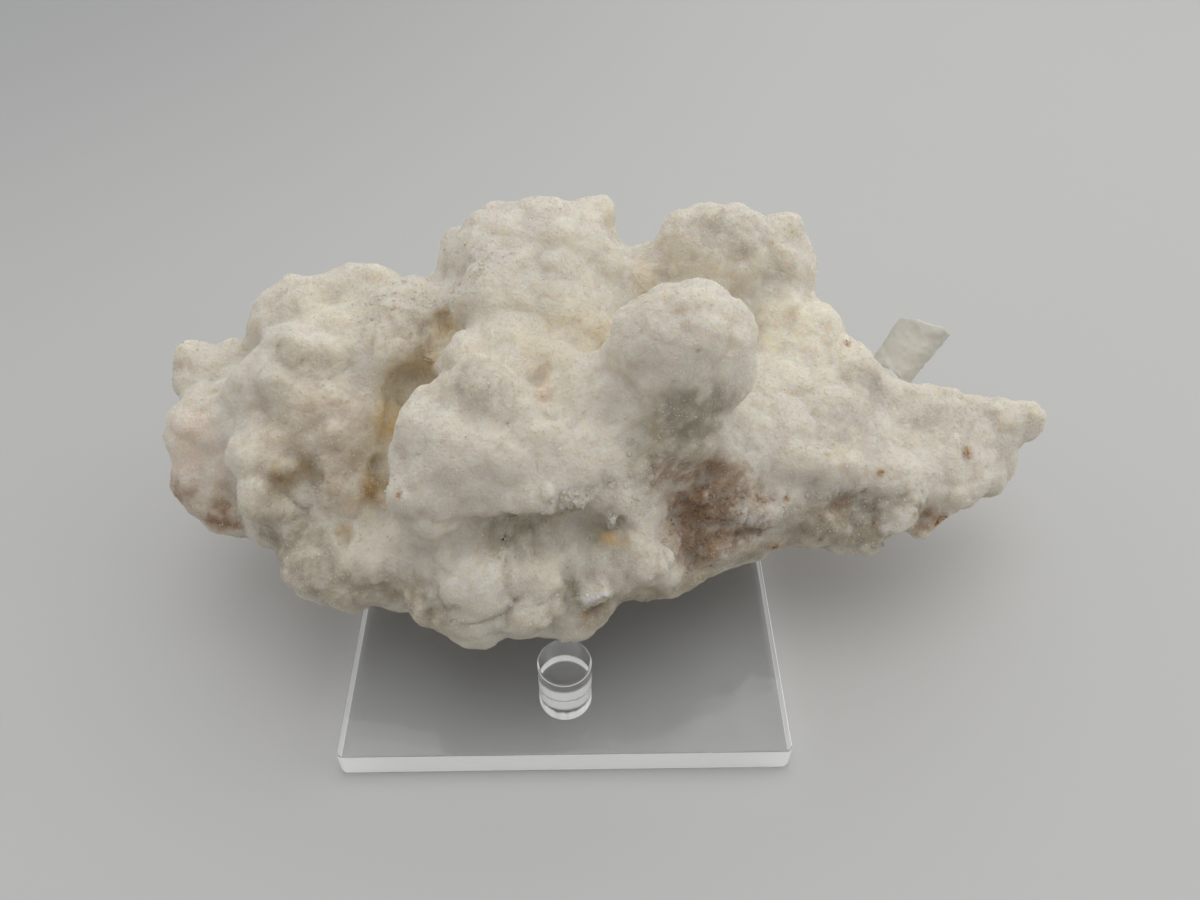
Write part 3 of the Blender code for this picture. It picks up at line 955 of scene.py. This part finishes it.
def prism_material(prism):
    """Cloudy ivory crystal that some light passes through."""
    maker = Maker("cloudy_prism")
    cloud = maker.speckle(3 * MM, 3, 0.6)
    fine = maker.speckle(0.6 * MM, 2, 0.6)
    streaks = maker.speckle(MM / 0.9)
    return maker.finish(
        {
            "Base Color": maker.mix(cloud, (*prism.tint, 1), (*prism.cloud, 1)),
            "Roughness": (0.3 + fine * 0.3).kept(),
            "Transmission Weight": prism.clearness,
            "IOR": MINERAL_IOR,
            "Normal": maker.bump(fine * 0.5 + streaks * 0.5, 0.2 * MM, 0.8),
        }
    )


class THENARDITE_OT_prism(bpy.types.Operator):
    """Dresses the prism with worn faces and a broken end"""

    bl_idname = "thenardite.prism"
    bl_label = "Shape prism"

    def execute(self, context):
        made = node_copy(PRISM, "cloudy_prism")
        remesh(made, PRISM_CELL)
        soften(made, 2)
        apply_modifiers(made)
        places, normals = corners(made.data)
        lift = np.zeros(len(places))
        for size, height in PRISM_RELIEF:
            lift += np.array([noise.noise(Vector(place / (size * MM))) for place in places]) * height * MM
        places += normals * lift[:, None]
        move_corners(made.data, places)
        dress(made, prism_material(context.scene.thenardite_prism))
        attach(made, "root")
        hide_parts(PRISM)
        return {"FINISHED"}


def acrylic_material(stand):
    """Clear polished plastic with faint handling marks."""
    maker = Maker("clear_plastic")
    smear = maker.speckle(9 * MM, 3, 0.6)
    return maker.finish(
        {
            "Base Color": (*stand.tint, 1),
            "Roughness": ((smear - 0.45).kept() * 0.2 + 0.015).kept(),
            "Transmission Weight": stand.clearness,
            "IOR": ACRYLIC_IOR,
        }
    )


def peg_material(stand):
    """Clear rod, frosted with upright streaks where its foot is cemented to the plate; the foot glows with
    painted light.
    """
    maker = Maker("clear_rod")
    inputs = {
        "Base Color": (*stand.rod_tint, 1),
        "Roughness": 0.03,
        "Transmission Weight": 1.0,
        "IOR": ACRYLIC_IOR,
    }
    clear = maker.node("ShaderNodeBsdfPrincipled", None, inputs)
    stretched = maker.vector("MULTIPLY", maker.place(), (1, 1, 0.08))
    inputs = {"Vector": stretched, "Scale": 1 / (1.2 * MM), "Detail": 1.0}
    streaks = maker.node("ShaderNodeTexNoise", None, inputs)
    inputs = {
        "Base Color": maker.mix(streaks, (0.62, 0.62, 0.61, 1), (1.0, 1.0, 0.99, 1)),
        "Roughness": 0.25,
        # Painted light: the milky foot glows in place of light piped up from the plate
        "Emission Color": (1, 1, 1, 1),
        "Emission Strength": stand.piped * FOOT_GLOW,
    }
    milky = maker.node("ShaderNodeBsdfPrincipled", None, inputs)
    top = PLATE_TOP + FOOT_HEIGHT + (streaks - 0.5) * MM
    foot = ((top - maker.upright(maker.place())) / FOOT_EDGE).kept()
    facing = maker.upright(maker.node("ShaderNodeNewGeometry", output="Normal"))
    inputs = {0: foot * (1 - facing * facing) * stand.frost, 1: clear, 2: milky}
    return maker.finish(inputs, "ShaderNodeMixShader")


def sawn_material(stand):
    """The plate's sawn rim: milky, with a painted glow that stands in for the light the plate pipes to it."""
    maker = Maker("milky_rim")
    streaks = maker.speckle(1.5 * MM)
    return maker.finish(
        {
            "Base Color": maker.mix(streaks, (0.86, 0.86, 0.85, 1), (0.96, 0.96, 0.95, 1)),
            "Roughness": (0.3 + streaks * 0.2).kept(),
            "Transmission Weight": stand.rim_clearness,
            "IOR": ACRYLIC_IOR,
            # Painted light: an even glow in place of light piped through the plate
            "Emission Color": (1, 1, 1, 1),
            "Emission Strength": stand.piped,
        }
    )


def bevelled(made, width):
    """Adds a modifier that rounds the sharp edges."""
    edge = made.modifiers.new("rim", "BEVEL")
    edge.width = width
    edge.segments = RIM_STEPS
    edge.limit_method = "ANGLE"


class THENARDITE_OT_plate(bpy.types.Operator):
    """Saws and polishes the stand's clear plate"""

    bl_idname = "thenardite.plate"
    bl_label = "Polish plate"

    def execute(self, context):
        stand = context.scene.thenardite_stand
        low, high = (Vector(corner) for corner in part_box(PLATE))
        shape = bmesh.new()
        place = Matrix.Translation((low + high) / 2) @ Matrix.Diagonal((*(high - low), 1))
        bmesh.ops.create_cube(shape, size=1, matrix=place)
        uprights = [edge for edge in shape.edges if abs(edge.verts[0].co.z - edge.verts[1].co.z) > MM]
        bevel = {"offset": stand.plate_corner, "segments": CORNER_STEPS, "profile": 0.5, "affect": "EDGES"}
        bmesh.ops.bevel(shape, geom=uprights, **bevel)
        shape.normal_update()
        for face in shape.faces:
            face.material_index = 0 if abs(face.normal.z) > 0.5 else 1
        mesh = bpy.data.meshes.new("clear_plate")
        shape.to_mesh(mesh)
        shape.free()
        plate = link_object("clear_plate", mesh, acrylic_material(stand))
        mesh.materials.append(sawn_material(stand))
        bevelled(plate, stand.plate_edge)
        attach(plate, "root")
        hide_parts(PLATE)
        return {"FINISHED"}


class THENARDITE_OT_rods(bpy.types.Operator):
    """Turns and polishes the three pegs that stand on the plate"""

    bl_idname = "thenardite.rods"
    bl_label = "Turn rods"

    def execute(self, context):
        stand = context.scene.thenardite_stand
        material = peg_material(stand)
        for node in PEGS:
            low, high = (Vector(corner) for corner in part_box(node))
            radius = (high.x - low.x) / 2
            centre = (low + high) / 2
            length = high.z - PLATE_TOP - ROD_GAP
            place = Matrix.Translation((centre.x, centre.y, high.z - length / 2))
            shape = bmesh.new()
            round_rod = {"segments": ROD_SIDES, "radius1": radius, "radius2": radius, "depth": length}
            bmesh.ops.create_cone(shape, cap_ends=True, matrix=place, **round_rod)
            name = node.replace("_peg", "_rod")
            mesh = bpy.data.meshes.new(name)
            shape.to_mesh(mesh)
            shape.free()
            rod = link_object(name, mesh, material)
            bevelled(rod, stand.peg_edge)
            rod.data.shade_smooth()
            rod.data.set_sharp_from_angle(angle=SHARP_ANGLE)
            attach(rod, "root")
            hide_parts(node)
        return {"FINISHED"}


def photo_camera():
    """The camera at the photograph's place and angle."""
    forward = Vector(
        (
            math.sin(CAMERA_YAW) * math.cos(CAMERA_PITCH),
            math.cos(CAMERA_YAW) * math.cos(CAMERA_PITCH),
            -math.sin(CAMERA_PITCH),
        )
    )
    level = Vector((math.cos(CAMERA_YAW), -math.sin(CAMERA_YAW), 0))
    upward = level.cross(forward)
    right = level * math.cos(CAMERA_ROLL) + upward * math.sin(CAMERA_ROLL)
    up = upward * math.cos(CAMERA_ROLL) - level * math.sin(CAMERA_ROLL)
    data = bpy.data.cameras.new("photo_camera")
    data.sensor_width = CAMERA_SENSOR
    data.lens = CAMERA_LENS
    data.clip_start = CAMERA_NEAR
    camera = bpy.data.objects.new("photo_camera", data)
    turn = Matrix((right, up, -forward)).transposed().to_4x4()
    camera.matrix_world = Matrix.Translation(CAMERA_PLACE) @ turn
    bpy.context.scene.collection.objects.link(camera)
    bpy.context.scene.camera = camera


def area_light(name, place, width, depth, power, colour):
    """A rectangular light that faces the specimen."""
    data = bpy.data.lights.new(name, "AREA")
    data.shape = "RECTANGLE"
    data.size = width
    data.size_y = depth
    data.energy = power
    data.color = colour
    light = bpy.data.objects.new(name, data)
    light.location = place
    light.rotation_euler = (Vector(LIGHT_AIM) - Vector(place)).to_track_quat("-Z", "Y").to_euler()
    bpy.context.scene.collection.objects.link(light)


def room_light(stage):
    """Soft light from all around, strongest from above and behind."""
    maker = Maker("soft_room", world=True)
    aim = Vector(SKY_AIM).normalized()
    toward = maker.vector("DOT_PRODUCT", maker.node("ShaderNodeTexCoord"), aim, output="Value")
    glow = ((toward + 1) * 0.5) ** 2
    inputs = {"Color": (*stage.sky, 1), "Strength": (glow * SKY_GLOW + SKY_BASE) * stage.room}
    return maker.finish(inputs, "ShaderNodeBackground")


class THENARDITE_OT_stage(bpy.types.Operator):
    """Sets the pale floor, the soft lights and the camera"""

    bl_idname = "thenardite.stage"
    bl_label = "Set stage"

    def execute(self, context):
        stage = context.scene.thenardite_stage
        shape = bmesh.new()
        bmesh.ops.create_grid(shape, x_segments=2, y_segments=2, size=FLOOR_REACH)
        mesh = bpy.data.meshes.new("floor")
        shape.to_mesh(mesh)
        shape.free()
        maker = Maker("pale_floor")
        soft = maker.speckle(FLOOR_CLOUD_SIZE)
        tone = maker.mix(soft * 0.3, (*stage.floor, 1), (*stage.mottle, 1))
        # Painted shade towards the floor's far corner
        tone = maker.mix(maker.blob(FLOOR_SHADE_PLACE, FLOOR_SHADE_REACH), tone, (*stage.corner, 1))
        floor = link_object("floor", mesh, maker.finish({"Base Color": tone, "Roughness": 0.75}))
        floor.location.z = -FLOOR_GAP
        context.scene.world = room_light(stage)
        context.scene.view_settings.view_transform = "Standard"
        for name, place, width, depth, share, colour in SOFTBOXES:
            area_light(name, place, width, depth, stage.light * share, colour)
        photo_camera()
        return {"FINISHED"}


class THENARDITE_PT_panel(bpy.types.Panel):
    """Lists the specimen's sizes, colours and steps"""

    bl_idname = "THENARDITE_PT_panel"
    bl_label = "Thenardite"
    bl_space_type = "VIEW_3D"
    bl_region_type = "UI"
    bl_category = "Thenardite"

    def draw(self, context):
        for name in GROUPS:
            group = getattr(context.scene, name)
            box = self.layout.box()
            for key in group.__annotations__:
                box.prop(group, key)
        for operator in OPERATORS:
            self.layout.operator(operator.bl_idname)


GROUPS = {
    "thenardite_crust": CrustSettings,
    "thenardite_prism": PrismSettings,
    "thenardite_stand": StandSettings,
    "thenardite_stage": StageSettings,
}
OPERATORS = (
    THENARDITE_OT_crust,
    THENARDITE_OT_grains,
    THENARDITE_OT_crystals,
    THENARDITE_OT_specks,
    THENARDITE_OT_prism,
    THENARDITE_OT_plate,
    THENARDITE_OT_rods,
    THENARDITE_OT_stage,
)


def register():
    for cls in (*GROUPS.values(), *OPERATORS, THENARDITE_PT_panel):
        bpy.utils.register_class(cls)
    for name, group in GROUPS.items():
        setattr(bpy.types.Scene, name, PointerProperty(type=group))


def unregister():
    for name in GROUPS:
        delattr(bpy.types.Scene, name)
    for cls in reversed((*GROUPS.values(), *OPERATORS, THENARDITE_PT_panel)):
        bpy.utils.unregister_class(cls)


def main():
    register()
    bpy.ops.thenardite.crust()
    bpy.ops.thenardite.grains()
    bpy.ops.thenardite.crystals()
    bpy.ops.thenardite.specks()
    bpy.ops.thenardite.prism()
    bpy.ops.thenardite.plate()
    bpy.ops.thenardite.rods()
    bpy.ops.thenardite.stage()


if __name__ == "__main__":
    main()
